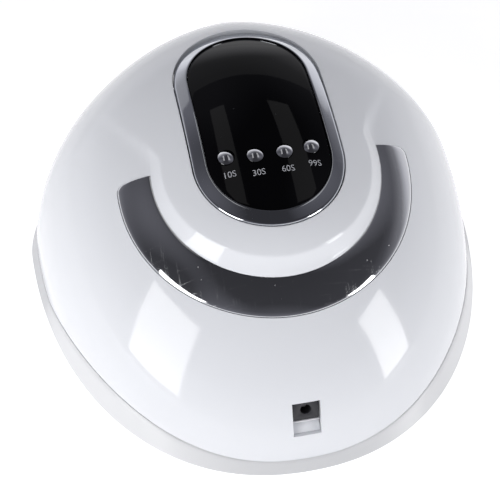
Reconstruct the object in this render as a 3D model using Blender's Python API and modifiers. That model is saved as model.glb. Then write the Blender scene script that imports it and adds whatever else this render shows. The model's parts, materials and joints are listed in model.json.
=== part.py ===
"""UV curing lamp for gel nails: a white domed lamp body over a removable magnetic base tray.

The driving dimensions are in millimetres and MM turns them into metres.
The hand goes in at the front (-Y), the power inlet is at the rear (+Y), and +Z is up.
"""
import math

import bmesh
import bpy
from mathutils import Matrix, Vector

MM = 0.001
GAP = 0.3                    # clearance left between pieces that touch

# Dome: plan outline |x/A|^N + |y/B|^N = 1, blunter behind than in front, whose centre leans
# forward with height
HALF_WIDTH = 108.1
REAR_REACH = 133.75
FRONT_REACH = 86.4
CENTRE_Y = -24.15
DOME_HEIGHT = 88.1
DOME_LEAN = 0.284
REAR_POWER = 2.18
FRONT_POWER = 1.70
WALL_POWER = 2.545
CROWN_POWER = 2.015
WALL = 2.6

# Seam between the lamp body and the tray: a wave, low at the rear centre, high at the corners
SEAM_TOP = 14.0
SEAM_FALL = 10.0
SEAM_MID_Y = 55.5
SEAM_REACH = 56.0
SEAM_LOW = 5.5

# Crown: the raised top that carries the control panel, stepped down to the chrome arc
PANEL_Y = -27.15
CROWN_TOP = 95.0
CROWN_TILT = 0.0193
CROWN_BEND_Y = 0.003
CROWN_BEND_X = 0.0056
CROWN_BLEND = 3.0
NOSE_START = 34.0
NOSE_FALL = 0.0057
ISLAND_Y = -5.5
ISLAND_RADIUS = 53.5
ISLAND_STEP = 7.0
FLARE_ANGLE = -8.0
FLARE_RATE = 0.05
ARC_RADIUS = 68.5
ARC_END = -5.0
ARC_DEPTH = 0.9
ARC_PROUD = 0.6

# Control panel: stadiums with 47 mm between their two centres
PANEL_STRAIGHT = 47.0
RING_OUTER = 34.7
RING_INNER = 28.5
RING_SEAT = 1.3
RING_PROUD = 0.8
LENS_OPENING = 31.5
LENS_BELOW = 0.2
LENS_THICK = 3.4
BUTTON_RADIUS = 3.7
BUTTON_PROUD = 0.9
BUTTON_TRAVEL = 0.8
BUTTONS = {"10s": (19.6, -4.85), "30s": (6.7, -2.95), "60s": (-6.7, -2.95), "99s": (-19.6, -4.85)}
POSTS = {"rear_left": (23.0, 2.85), "rear_right": (-23.0, 2.85),
         "front_left": (23.0, -57.15), "front_right": (-23.0, -57.15)}
SWITCH_TOP = 84.9
SWITCH_SIZE = 6.0
BOARD_TOP = 81.5
BOARD_THICK = 1.6
BOARD_SIZE = (54.0, 68.0)
POST_RADIUS = 3.0

# Tray, reflector liner and mouth
FOOT_HEIGHT = 1.2
TRAY_BOTTOM = FOOT_HEIGHT + GAP
TRAY_WALL = 2.4
LINER_SCALE = 0.82
LINER_HEIGHT = 64.0
LINER_WALL = 1.6
FLANGE_BOTTOM = 7.0
FLANGE_SCALE = 0.955
MOUTH_HALF_WIDTH = 76.0
MOUTH_HEIGHT = 54.0
MOUTH_DEPTH = 85.0
TRAY_FLARE = 1.03
TRAY_REARWARD = 0.55
FLOOR_SHARES = (0.03, 0.35, 0.7, 1.0)
TRAY_LIP = 1.008
BOSS_RADIUS = 3.2
BOSS_TOP = 28.0
MAGNET_THICK = 1.4

SENSORS = {"sensor_emitter": 7.0, "sensor_receiver": -7.0}
SENSOR_Y = -72.0
SENSOR_RADIUS = 2.5

# Power inlet: a window in the rear wall, square to the wall's slope
INLET_CENTRE = (0.0, 97.05, 25.5)
INLET_SLOPE = 61.5
INLET_WIDTH = 13.0
INLET_LENGTH = 17.2
JACK_UP = 3.6
JACK_SIDE = 9.0
JACK_DEPTH = 11.0
JACK_BORE = 2.8
PIN_RADIUS = 1.0

WHITE = ("white_gloss", (0.86, 0.86, 0.88), 0.12, 0.0)
TRAY_WHITE = ("tray_white", (0.80, 0.81, 0.82), 0.25, 0.0)
CHROME = ("chrome", (0.60, 0.60, 0.62), 0.06, 1.0)
BLACK = ("black_gloss", (0.004, 0.004, 0.005), 0.04, 0.0)
DARK = ("dark_plastic", (0.03, 0.03, 0.035), 0.45, 0.0)
BOARD = ("board_green", (0.02, 0.14, 0.07), 0.45, 0.0)
METAL = ("bright_metal", (0.55, 0.55, 0.56), 0.30, 1.0)
RUBBER = ("grey_rubber", (0.35, 0.35, 0.36), 0.80, 0.0)
LINER = ("liner_white", (0.82, 0.83, 0.86), 0.18, 0.0)
WIRE = ("wire_sleeve", (0.45, 0.03, 0.03), 0.50, 0.0)


for old in list(bpy.data.objects):
    bpy.data.objects.remove(old, do_unlink=True)

parts = bpy.data.collections.new("uv_curing_lamp")
cutters = bpy.data.collections.new("cutters")
bpy.context.scene.collection.children.link(parts)
bpy.context.scene.collection.children.link(cutters)


# ---------------------------------------------------------------- materials and objects
def material(finish):
    name, color, roughness, metallic = finish
    found = bpy.data.materials.get(name)
    if found:
        return found
    made = bpy.data.materials.new(name)
    made.use_nodes = True
    shader = made.node_tree.nodes["Principled BSDF"]
    shader.inputs["Base Color"].default_value = (*color, 1.0)
    shader.inputs["Roughness"].default_value = roughness
    shader.inputs["Metallic"].default_value = metallic
    made.diffuse_color = (*color, 1.0)
    return made


def add_object(name, data, finish=None):
    thing = bpy.data.objects.new(name, data)
    if finish:
        parts.objects.link(thing)
        data.materials.append(material(finish))
    else:
        cutters.objects.link(thing)
        thing.hide_render = True
        thing.display_type = "WIRE"
    return thing


def mesh_object(name, shape, finish=None, smooth=False):
    bmesh.ops.recalc_face_normals(shape, faces=shape.faces)
    data = bpy.data.meshes.new(name)
    shape.to_mesh(data)
    shape.free()
    if smooth:
        data.shade_smooth()
        data.set_sharp_from_angle(angle=math.radians(35))
    return add_object(name, data, finish)


def boolean(target, cutter, operation="DIFFERENCE"):
    step = target.modifiers.new(operation.lower() + "_" + cutter.name, "BOOLEAN")
    step.operation = operation
    step.solver = "EXACT"
    step.object = cutter
    return step


def bevel(target, width, segments=2, limit=40):
    step = target.modifiers.new("soft_edges", "BEVEL")
    step.width = width * MM
    step.segments = segments
    step.limit_method = "ANGLE"
    step.angle_limit = math.radians(limit)
    return step


def frame_at(centre, turn=None):
    place = Matrix.Translation(Vector(centre) * MM)
    return place @ turn.to_4x4() if turn else place


def box(name, size, centre, finish=None, turn=None, edge=0.0):
    shape = bmesh.new()
    bmesh.ops.create_cube(shape, size=1.0)
    bmesh.ops.scale(shape, vec=Vector(size) * MM, verts=shape.verts)
    thing = mesh_object(name, shape, finish)
    thing.matrix_world = frame_at(centre, turn)
    if edge:
        bevel(thing, edge, 1)
    return thing


def cylinder(name, radius, depth, centre, finish=None, turn=None, sides=24):
    shape = bmesh.new()
    bmesh.ops.create_cone(shape, cap_ends=True, segments=sides, radius1=radius * MM,
                          radius2=radius * MM, depth=depth * MM)
    thing = mesh_object(name, shape, finish, smooth=True)
    thing.matrix_world = frame_at(centre, turn)
    return thing


def turned(name, profile, centre, finish, sides=20, turn=None):
    """A profile of (radius, height) points, run from the top axis down the outer side."""
    data = bpy.data.meshes.new(name)
    points = [(radius * MM, 0.0, height * MM) for radius, height in profile]
    edges = [(first, first + 1) for first in range(len(points) - 1)]
    data.from_pydata(points, edges, [])
    thing = add_object(name, data, finish)
    thing.matrix_world = frame_at(centre, turn)
    spin = thing.modifiers.new("spin", "SCREW")
    spin.axis = "Z"
    spin.angle = math.tau
    spin.steps = sides
    spin.render_steps = sides
    spin.use_merge_vertices = True
    spin.merge_threshold = 0.00005
    return thing


def wire(name, points, radius, finish):
    data = bpy.data.curves.new(name, "CURVE")
    data.dimensions = "3D"
    data.bevel_depth = radius * MM
    data.bevel_resolution = 1
    data.use_fill_caps = True
    line = data.splines.new("POLY")
    line.points.add(len(points) - 1)
    for point, spot in zip(line.points, points):
        point.co = (*(Vector(spot) * MM), 1.0)
    return add_object(name, data, finish)


# ---------------------------------------------------------------- the lamp's surfaces
def plan_direction(angle):
    """Point on the unit outline |c|^N + |s|^N = 1, where 90 degrees is the rear."""
    across = math.cos(angle)
    along = math.sin(angle)
    power = REAR_POWER if along > 0 else FRONT_POWER
    return math.copysign(abs(across) ** (2 / power), across), math.copysign(abs(along) ** (2 / power), along)


def plan_scale(height, top):
    share = min(max(height / top, 0.0), 1.0)
    return (1.0 - share ** CROWN_POWER) ** (1 / WALL_POWER)


def dome_point(angle, height, scale=1.0, top=DOME_HEIGHT):
    """Point of the dome, or of a smaller dome inside it, at a height in millimetres."""
    across, along = plan_direction(angle)
    size = scale * plan_scale(height, top)
    reach = REAR_REACH if along > 0 else FRONT_REACH
    return Vector((HALF_WIDTH * size * across,
                   CENTRE_Y - DOME_LEAN * height + reach * size * along, height))


def dome_normal(angle, height, scale=1.0, top=DOME_HEIGHT):
    around = dome_point(angle + 0.01, height, scale, top) - dome_point(angle - 0.01, height, scale, top)
    upward = dome_point(angle, height + 0.5, scale, top) - dome_point(angle, height - 0.5, scale, top)
    return around.cross(upward).normalized()


def dome_height(x, y, scale=1.0, top=DOME_HEIGHT):
    """Height of the dome over a plan point near the crown, by repeated correction for the lean."""
    height = 0.8 * top
    for _ in range(24):
        along = y - CENTRE_Y + DOME_LEAN * height
        reach, power = (REAR_REACH, REAR_POWER) if along > 0 else (FRONT_REACH, FRONT_POWER)
        size = (abs(x / HALF_WIDTH) ** power + abs(along / reach) ** power) ** (1 / power)
        drop = max(1.0 - (size / scale) ** WALL_POWER, 0.0)
        height += 0.6 * (top * drop ** (1 / CROWN_POWER) - height)
    return height


def smooth_step(share):
    share = min(max(share, 0.0), 1.0)
    return share * share * (3.0 - 2.0 * share)


def crown_height(x, y):
    along = y - PANEL_Y
    nose = NOSE_FALL * max(-along - NOSE_START, 0.0) ** 2
    return CROWN_TOP + CROWN_TILT * along - CROWN_BEND_Y * along ** 2 - CROWN_BEND_X * x ** 2 - nose


def island_edge(x, y):
    """Radius of the raised island about its centre: round behind, flared towards the front."""
    angle = math.degrees(math.atan2(y - ISLAND_Y, abs(x)))
    return ISLAND_RADIUS + FLARE_RATE * max(FLARE_ANGLE - angle, 0.0) ** 2


def body_height(x, y):
    """Outer surface of the lamp body: the dome, with the crown blended onto it inside the island."""
    dome = dome_height(x, y)
    crown = crown_height(x, y)
    blended = 0.5 * (crown + dome + math.hypot(crown - dome, CROWN_BLEND))
    inside = (island_edge(x, y) - math.hypot(x, y - ISLAND_Y)) / ISLAND_STEP
    front = smooth_step((dome - 60.0) / 18.0)
    return dome + smooth_step(inside) * front * (blended - dome)


def seam_height(angle):
    """The seam's wave along the outline."""
    y = dome_point(angle, SEAM_LOW).y
    wave = SEAM_TOP - SEAM_FALL * ((y - SEAM_MID_Y) / SEAM_REACH) ** 2
    return max(wave, SEAM_LOW)


def rise_to_circle(angle, radius):
    """Height at which a meridian of the dome comes within a plan radius of the island's centre."""
    low, high = 0.0, DOME_HEIGHT
    for _ in range(30):
        middle = 0.5 * (low + high)
        spot = dome_point(angle, middle)
        if math.hypot(spot.x, spot.y - ISLAND_Y) > radius:
            low = middle
        else:
            high = middle
    return low


def ring_of(shape, points):
    return [shape.verts.new(Vector(point) * MM) for point in points]


def bridge(shape, lower, upper):
    count = len(lower)
    for index in range(count):
        after = (index + 1) % count
        shape.faces.new((lower[index], lower[after], upper[after], upper[index]))


def solidify(target, thickness, offset):
    step = target.modifiers.new("wall", "SOLIDIFY")
    step.thickness = thickness * MM
    step.offset = offset
    step.use_even_offset = True
    return step


def loft(name, rings, finish, close_top=True, close_bottom=False):
    shape = bmesh.new()
    made = [ring_of(shape, points) for points in rings]
    for lower, upper in zip(made, made[1:]):
        bridge(shape, lower, upper)
    if close_top:
        shape.faces.new(made[-1])
    if close_bottom:
        shape.faces.new(list(reversed(made[0])))
    return mesh_object(name, shape, finish, smooth=True)


def slab(name, low, high, corners, counts, place=lambda u, v: (u, v), finish=None):
    """A grid laid over a plan region and given a lower and an upper surface."""
    shape = bmesh.new()
    bmesh.ops.create_grid(shape, x_segments=counts[0], y_segments=counts[1], size=0.5)
    (u0, v0), (u1, v1) = corners
    for vert in shape.verts:
        x, y = place(u0 + (vert.co.x + 0.5) * (u1 - u0), v0 + (vert.co.y + 0.5) * (v1 - v0))
        vert.co = Vector((x, y, low(x, y))) * MM
    top = bmesh.ops.extrude_face_region(shape, geom=shape.faces[:])
    for vert in (item for item in top["geom"] if isinstance(item, bmesh.types.BMVert)):
        vert.co.z = high(vert.co.x / MM, vert.co.y / MM) * MM
    return mesh_object(name, shape, finish, smooth=True)


def stadium_prism(name, radius, low=60.0, high=115.0, sides=20):
    """Upright prism with the panel's stadium outline."""
    half = PANEL_STRAIGHT / 2
    outline = []
    for end, start in ((half, 0.0), (-half, math.pi)):
        for step in range(sides + 1):
            turn = start + math.pi * step / sides
            outline.append((radius * math.cos(turn), PANEL_Y + end + radius * math.sin(turn)))
    shape = bmesh.new()
    base = shape.faces.new(ring_of(shape, [(x, y, low) for x, y in outline]))
    top = bmesh.ops.extrude_face_region(shape, geom=[base])
    lifted = [item for item in top["geom"] if isinstance(item, bmesh.types.BMVert)]
    bmesh.ops.translate(shape, vec=(0, 0, (high - low) * MM), verts=lifted)
    return mesh_object(name, shape)


def crown_slab(name, low, high, finish=None):
    """A slab that follows the crown, between two offsets from it, over the whole panel."""
    reach = RING_OUTER + 6.0
    length = PANEL_STRAIGHT / 2 + reach
    return slab(name, lambda x, y: crown_height(x, y) + low, lambda x, y: crown_height(x, y) + high,
                ((-reach, PANEL_Y - length), (reach, PANEL_Y + length)), (10, 14), finish=finish)


# ---------------------------------------------------------------- casing
OUTLINE_STEPS = 64
ANGLES = [math.tau * (index + 0.5) / OUTLINE_STEPS for index in range(OUTLINE_STEPS)]


def circle_ring(radius):
    """Ring of the body's surface on a plan circle about the island's centre, meridian by meridian."""
    points = []
    for angle in ANGLES:
        foot = dome_point(angle, rise_to_circle(angle, ARC_RADIUS))
        x = foot.x * radius / ARC_RADIUS
        y = ISLAND_Y + (foot.y - ISLAND_Y) * radius / ARC_RADIUS
        points.append((x, y, body_height(x, y)))
    return points


def wall_rings(count, lift):
    rings = []
    for step in range(count):
        ring = []
        for angle in ANGLES:
            low = seam_height(angle) + lift
            high = rise_to_circle(angle, ARC_RADIUS)
            ring.append(dome_point(angle, low + (high - low) * math.sin(0.5 * math.pi * step / count)))
        rings.append(ring)
    return rings


def mouth_cutter(name, half_width, height, deep):
    """Arched prism that opens the front: a superellipse above, straight below."""
    steps = 24
    outline = []
    for step in range(steps + 1):
        turn = math.pi * step / steps
        across, up = math.cos(turn), math.sin(turn)
        outline.append((half_width * math.copysign(abs(across) ** 0.5, across), height * up ** 0.5))
    outline += [(-half_width, -20.0), (half_width, -20.0)]
    shape = bmesh.new()
    base = shape.faces.new(ring_of(shape, [(x, -140.0, z) for x, z in outline]))
    end = bmesh.ops.extrude_face_region(shape, geom=[base])
    moved = [item for item in end["geom"] if isinstance(item, bmesh.types.BMVert)]
    bmesh.ops.translate(shape, vec=(0, deep * MM, 0), verts=moved)
    return mesh_object(name, shape)


def boss_spot(angle):
    """Plan position of a screw boss that merges with the wall at its top."""
    spot = dome_point(angle, BOSS_TOP)
    out = dome_normal(angle, BOSS_TOP)
    flat = Vector((out.x, out.y, 0.0)).normalized()
    return spot - flat * (BOSS_RADIUS + 1.2)


CORNERS = {"rear_left": 40.0, "rear_right": 140.0, "front_left": -8.0, "front_right": -172.0}
inlet_turn = Matrix.Rotation(math.radians(90.0 - INLET_SLOPE), 3, "X")
inlet_axis = Matrix.Rotation(math.radians(-INLET_SLOPE), 3, "X")


def inlet_place(across, up, out):
    """A point by the inlet: across it, up the wall's slope, and out of the wall."""
    slope = math.radians(INLET_SLOPE)
    rise = Vector((0.0, -math.cos(slope), math.sin(slope)))
    normal = Vector((0.0, math.sin(slope), math.cos(slope)))
    return Vector(INLET_CENTRE) + Vector((across, 0.0, 0.0)) + rise * up + normal * out


def arc_place(radius, angle):
    turn = math.radians(angle)
    return radius * math.cos(turn), ISLAND_Y + radius * math.sin(turn)


WALL_RINGS = 8
CROWN_RINGS = (ARC_RADIUS, 61.0, ISLAND_RADIUS, 51.4, 48.6, 46.5, 38.0, 24.0)


def build_upper_shell():
    rings = wall_rings(WALL_RINGS, 0.0) + [circle_ring(radius) for radius in CROWN_RINGS]
    shell = loft("upper_shell", rings, WHITE)
    solidify(shell, WALL, -1)
    for place, angle in CORNERS.items():
        spot = boss_spot(math.radians(angle))
        low = FLANGE_BOTTOM + LINER_WALL + GAP
        boss = cylinder("boss_" + place, BOSS_RADIUS, BOSS_TOP - low,
                        (spot.x, spot.y, 0.5 * (BOSS_TOP + low)), sides=16)
        boolean(shell, boss, "UNION")
        hole = cylinder("boss_hole_" + place, 1.8, 14.0, (spot.x, spot.y, low + 5.0), sides=12)
        boolean(shell, hole)
    pocket = crown_slab("ring_pocket", -RING_SEAT - GAP, 8.0)
    boolean(pocket, stadium_prism("ring_pocket_outline", RING_OUTER + GAP), "INTERSECT")
    boolean(shell, pocket)
    boolean(shell, stadium_prism("lens_opening", LENS_OPENING))
    groove = slab("arc_groove", lambda x, y: dome_height(x, y) - ARC_DEPTH - GAP,
                  lambda x, y: dome_height(x, y) + 6.0,
                  ((ISLAND_RADIUS - 0.6, ARC_END - 0.4), (ARC_RADIUS + GAP, 180.4 - ARC_END)),
                  (4, 44), arc_place)
    boolean(shell, groove)
    boolean(shell, mouth_cutter("mouth", MOUTH_HALF_WIDTH, MOUTH_HEIGHT, MOUTH_DEPTH))
    window = box("inlet_window", (INLET_WIDTH, 14.0, INLET_LENGTH), INLET_CENTRE, turn=inlet_turn)
    boolean(shell, window)
    return shell


def build_chrome_arc():
    middle = 0.5 * (ISLAND_RADIUS + ARC_RADIUS)
    half = 0.5 * (ARC_RADIUS - ISLAND_RADIUS)

    def crowned(x, y):
        across = (math.hypot(x, y - ISLAND_Y) - middle) / half
        return dome_height(x, y) + ARC_PROUD * (1.0 - min(abs(across), 1.0) ** 2)

    return slab("chrome_arc", lambda x, y: dome_height(x, y) - ARC_DEPTH, crowned,
                ((ISLAND_RADIUS - GAP, ARC_END), (ARC_RADIUS, 180.0 - ARC_END)),
                (4, 44), arc_place, CHROME)


def build_tray():
    """Shallow dish with its wall following the seam; the floor is laid in nested rings."""
    def ring(height, scale, share=1.0):
        middle = Vector((0.0, CENTRE_Y, height))
        shift = Vector((0.0, TRAY_REARWARD, 0.0))
        return [middle.lerp(dome_point(angle, height, scale) + shift, share) for angle in ANGLES]

    inset = TRAY_WALL / HALF_WIDTH
    floor = TRAY_BOTTOM + TRAY_WALL
    rings = [ring(TRAY_BOTTOM, TRAY_FLARE - 0.008, share) for share in FLOOR_SHARES]
    rings.append(ring(TRAY_BOTTOM + 1.2, TRAY_FLARE))
    rings.append([dome_point(angle, seam_height(angle) - GAP, TRAY_LIP) for angle in ANGLES])
    rings.append([dome_point(angle, seam_height(angle) - 4 * GAP, TRAY_LIP - inset) for angle in ANGLES])
    rings += [ring(floor, TRAY_FLARE - 0.012 - inset, share) for share in reversed(FLOOR_SHARES)]
    return loft("base_tray", rings, TRAY_WHITE, close_bottom=True)


def build_liner():
    flange = [dome_point(angle, FLANGE_BOTTOM, FLANGE_SCALE) for angle in ANGLES]
    rings = [flange]
    for step in range(9):
        height = FLANGE_BOTTOM + (LINER_HEIGHT - FLANGE_BOTTOM) * math.sin(0.5 * math.pi * step / 9)
        rings.append([dome_point(angle, height, LINER_SCALE, LINER_HEIGHT) for angle in ANGLES])
    liner = loft("reflector_liner", rings, LINER)
    solidify(liner, LINER_WALL, 1)
    boolean(liner, mouth_cutter("liner_mouth", MOUTH_HALF_WIDTH - 4.0, MOUTH_HEIGHT - 3.0, MOUTH_DEPTH))
    for name, x in SENSORS.items():
        hole = cylinder("hole_" + name, SENSOR_RADIUS + GAP, 30.0, (x, SENSOR_Y, LINER_HEIGHT), sides=16)
        boolean(liner, hole)
    for place, angle in CORNERS.items():
        spot = boss_spot(math.radians(angle))
        boolean(liner, cylinder("flange_hole_" + place, 1.8, 12.0, (spot.x, spot.y, FLANGE_BOTTOM), sides=12))
    return liner


# ---------------------------------------------------------------- control panel
def build_panel():
    ring = crown_slab("bezel_ring", -RING_SEAT, RING_PROUD, CHROME)
    boolean(ring, stadium_prism("ring_outline", RING_OUTER), "INTERSECT")
    boolean(ring, stadium_prism("ring_bore", RING_INNER))
    lens = crown_slab("panel_lens", -LENS_THICK, -LENS_BELOW, BLACK)
    boolean(lens, stadium_prism("lens_outline", LENS_OPENING - GAP), "INTERSECT")
    rebate = crown_slab("lens_rebate", -RING_SEAT - GAP, 4.0)
    boolean(rebate, stadium_prism("lens_face", RING_INNER - GAP))
    boolean(lens, rebate)
    for label, (x, y) in BUTTONS.items():
        hole = cylinder("button_hole_" + label, BUTTON_RADIUS + GAP, 30.0, (x, y, 90.0), sides=20)
        boolean(lens, hole)


def build_button(label, x, y):
    """Chrome cap, a collar that holds it under the lens, and a stem down to the switch."""
    face = crown_height(x, y)
    top = face + BUTTON_PROUD
    collar = face - LENS_THICK - 1.5
    foot = SWITCH_TOP + BUTTON_TRAVEL + 0.1
    profile = [(0.0, top), (1.6, top - 0.1), (2.8, top - 0.4), (BUTTON_RADIUS, top - 1.2),
               (BUTTON_RADIUS, collar), (BUTTON_RADIUS + 0.9, collar), (BUTTON_RADIUS + 0.9, collar - 0.8),
               (1.8, collar - 0.8), (1.8, foot), (0.0, foot)]
    turned("button_" + label, profile, (x, y, 0.0), CHROME)


def build_switch(label, x, y):
    """Tact switch: a square body with a round plunger."""
    body_top = SWITCH_TOP - 0.7
    low = BOARD_TOP + GAP
    body = box("switch_" + label, (SWITCH_SIZE, SWITCH_SIZE, body_top - low),
               (x, y, 0.5 * (body_top + low)), DARK, edge=0.3)
    plunger = cylinder("plunger_" + label, 1.7, 1.4, (x, y, SWITCH_TOP - 0.7), sides=12)
    boolean(body, plunger, "UNION")


def screw(name, head_radius, shank_radius, length, spot, turn=None):
    """Pan-head screw with the underside of its head at the spot, pointing down unless turned."""
    profile = [(0.0, 1.8), (head_radius - 0.7, 1.8), (head_radius, 1.0), (head_radius, 0.0),
               (shank_radius, 0.0), (shank_radius, 0.6 - length), (shank_radius - 0.3, -length),
               (0.0, -length)]
    turned(name, profile, spot, METAL, 12, turn)


# ---------------------------------------------------------------- electronics
UPSIDE_DOWN = Matrix.Rotation(math.pi, 3, "X")
SIDE_BOARDS = {"led_board_left": 12.0, "led_board_right": 168.0, "led_board_rear": 90.0}
SIDE_BOARD_SIZE = (70.0, 22.0, 1.2)
SIDE_BOARD_HEIGHT = 26.0
TOP_BOARD_SIZE = (78.0, 44.0)


def build_electronics():
    middle = BOARD_TOP - 0.5 * BOARD_THICK
    board = box("control_board", (*BOARD_SIZE, BOARD_THICK), (0, PANEL_Y, middle), BOARD)
    for place, (x, y) in POSTS.items():
        boolean(board, cylinder("board_hole_" + place, 1.6, 6.0, (x, y, BOARD_TOP), sides=12))
        screw("board_screw_" + place, 2.6, 1.3, 6.0, (x, y, BOARD_TOP + GAP))
        low = dome_height(x, y, LINER_SCALE, LINER_HEIGHT) + LINER_WALL + 1.0
        high = BOARD_TOP - BOARD_THICK - GAP
        post = cylinder("board_post_" + place, POST_RADIUS, high - low, (x, y, 0.5 * (high + low)),
                        METAL, sides=16)
        boolean(post, cylinder("post_hole_" + place, 1.6, 12.0, (x, y, high), sides=12))
    box("display_module", (34.0, 15.0, 4.0), (0, PANEL_Y - 6.0, BOARD_TOP + 2.3), DARK, edge=0.4)
    box("main_chip", (10.0, 10.0, 1.4), (0, PANEL_Y - 28.0, BOARD_TOP + 1.0), DARK, edge=0.2)
    for name, x in SENSORS.items():
        roof = dome_height(x, SENSOR_Y, LINER_SCALE, LINER_HEIGHT)
        cylinder(name, SENSOR_RADIUS, 5.0, (x, SENSOR_Y, roof + 2.0), DARK, sides=16)


def wall_frame(angle, height, out):
    """Turn and place of a board that lies along the liner's wall, a distance outside it."""
    spot = dome_point(angle, height, LINER_SCALE, LINER_HEIGHT)
    normal = dome_normal(angle, height, LINER_SCALE, LINER_HEIGHT)
    along = Vector((-normal.y, normal.x, 0.0)).normalized()
    upward = normal.cross(along)
    turn = Matrix((along, upward, normal)).transposed()
    return spot + normal * out, turn


def build_led_boards():
    roof = LINER_HEIGHT + LINER_WALL + 1.4
    centre_y = CENTRE_Y - DOME_LEAN * LINER_HEIGHT + 12.0
    box("led_board_top", (*TOP_BOARD_SIZE, 1.2), (0, centre_y, roof), BOARD)
    for name, degrees in SIDE_BOARDS.items():
        spot, turn = wall_frame(math.radians(degrees), SIDE_BOARD_HEIGHT, 3.2)
        box(name, SIDE_BOARD_SIZE, spot, BOARD, turn)


def build_inlet():
    holder = box("inlet_holder", (18.0, 1.6, 22.0), inlet_place(0, 0, -WALL - GAP - 2.0), LINER, inlet_turn)
    side = JACK_SIDE + 2 * GAP
    window = box("jack_window", (side, 6.0, side), inlet_place(0, JACK_UP, -WALL - 1.6), turn=inlet_turn)
    boolean(holder, window)
    jack_out = -WALL - GAP
    body = box("dc_jack", (JACK_SIDE, JACK_DEPTH, JACK_SIDE),
               inlet_place(0, JACK_UP, jack_out - 0.5 * JACK_DEPTH), DARK, inlet_turn, edge=0.3)
    bore = cylinder("jack_bore", JACK_BORE, JACK_DEPTH - 2.0,
                    inlet_place(0, JACK_UP, jack_out - 0.5 * JACK_DEPTH + 1.5), turn=inlet_axis)
    boolean(body, bore)
    cylinder("jack_pin", PIN_RADIUS, JACK_DEPTH - 5.0,
             inlet_place(0, JACK_UP, jack_out - 0.5 * JACK_DEPTH), METAL, inlet_axis, sides=12)
    plate = box("inlet_plate", (INLET_WIDTH - 0.8, 1.0, 10.0), inlet_place(0, JACK_UP - 0.2, jack_out + 0.8),
                DARK, inlet_turn)
    boolean(plate, cylinder("plate_hole", JACK_BORE + GAP, 6.0, inlet_place(0, JACK_UP, jack_out + 0.8),
                            turn=inlet_axis))
    driver = (0.0, 56.5, 48.0)
    lean = Matrix.Rotation(math.radians(-42.0), 3, "X")
    box("driver_board", (60.0, 22.0, 1.2), driver, BOARD, lean)
    up = lean @ Vector((0.0, 0.0, 1.0))
    coil = Vector(driver) + up * 3.9 + Vector((-16, 0, 0))
    box("driver_inductor", (12.0, 12.0, 6.0), coil, DARK, lean, 0.8)
    cylinder("driver_capacitor", 4.0, 7.0, Vector(driver) + up * 4.4 + Vector((14, 0, 0)), METAL, lean)


def build_wires():
    """Leads inside the casing, from the inlet and the control board to the other boards."""
    terminal = JACK_UP + 0.5 * JACK_SIDE + GAP
    start = inlet_place(0, terminal, -WALL - GAP - 8.0)
    bend = inlet_place(0, terminal + 3.5, -WALL - GAP - 8.0)
    wire("lead_power", [start, bend, (0, 76.5, 36.5), (0, 71.5, 39.5), (0, 66.0, 41.5)], 0.9, WIRE)
    climb = [(12, 50.5, 57), (12, 44.5, 62), (12, 34.5, 67), (12, 22.5, 71), (12, 10.5, 75), (12, 5.5, 78.5)]
    wire("lead_control", climb, 0.9, WIRE)


# ---------------------------------------------------------------- fasteners, magnets and feet
def build_fixings():
    for place, degrees in CORNERS.items():
        spot = boss_spot(math.radians(degrees))
        screw("case_screw_" + place, 2.8, 1.4, 8.0, (spot.x, spot.y, FLANGE_BOTTOM - GAP), UPSIDE_DOWN)
    for place, degrees in MAGNETS.items():
        spot = dome_point(math.radians(degrees), FLANGE_BOTTOM, 0.5 * (FLANGE_SCALE + LINER_SCALE))
        above = FLANGE_BOTTOM + LINER_WALL + GAP + 0.5 * MAGNET_THICK
        below = TRAY_BOTTOM + TRAY_WALL + GAP + 0.25 * MAGNET_THICK
        cylinder("lamp_magnet_" + place, 4.0, MAGNET_THICK, (spot.x, spot.y, above), METAL, sides=20)
        cylinder("tray_magnet_" + place, 4.0, 0.5 * MAGNET_THICK, (spot.x, spot.y, below), METAL, sides=20)
    for place, degrees in FEET.items():
        spot = dome_point(math.radians(degrees), 0.0, 0.84)
        profile = [(0.0, FOOT_HEIGHT), (7.0, FOOT_HEIGHT), (7.0, 0.4), (6.6, 0.0), (0.0, 0.0)]
        turned("foot_" + place, profile, (spot.x, spot.y, 0.0), RUBBER, 20)


MAGNETS = {"rear_left": 62.0, "rear_right": 118.0, "front_left": 2.0, "front_right": 178.0}
FEET = {"rear_left": 52.0, "rear_right": 128.0, "front_left": -38.0, "front_right": -142.0}

build_upper_shell()
build_chrome_arc()
build_tray()
build_liner()
build_panel()
for button_label, (button_x, button_y) in BUTTONS.items():
    build_button(button_label, button_x, button_y)
    build_switch(button_label, button_x, button_y)
build_electronics()
build_led_boards()
build_inlet()
build_wires()
build_fixings()
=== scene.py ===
import json
import math

import bmesh
import bpy
import numpy as np
from mathutils import Matrix, Vector


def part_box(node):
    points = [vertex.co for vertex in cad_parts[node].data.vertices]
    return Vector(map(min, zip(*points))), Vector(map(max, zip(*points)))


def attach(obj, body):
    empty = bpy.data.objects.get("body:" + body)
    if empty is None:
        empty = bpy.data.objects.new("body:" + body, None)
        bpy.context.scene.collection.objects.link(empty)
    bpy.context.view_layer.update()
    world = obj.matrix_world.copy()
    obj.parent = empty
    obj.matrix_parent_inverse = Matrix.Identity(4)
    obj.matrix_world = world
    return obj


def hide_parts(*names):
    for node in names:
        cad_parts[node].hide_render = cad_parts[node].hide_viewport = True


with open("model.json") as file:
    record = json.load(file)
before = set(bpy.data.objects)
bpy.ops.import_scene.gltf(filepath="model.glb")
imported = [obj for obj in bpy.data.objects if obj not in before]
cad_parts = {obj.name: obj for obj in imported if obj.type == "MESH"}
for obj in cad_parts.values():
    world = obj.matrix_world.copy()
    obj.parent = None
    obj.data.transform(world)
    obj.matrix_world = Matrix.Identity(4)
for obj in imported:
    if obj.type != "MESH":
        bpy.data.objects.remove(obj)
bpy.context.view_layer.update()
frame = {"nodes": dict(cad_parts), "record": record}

bpy.ops.object.select_all(action="DESELECT")

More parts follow.
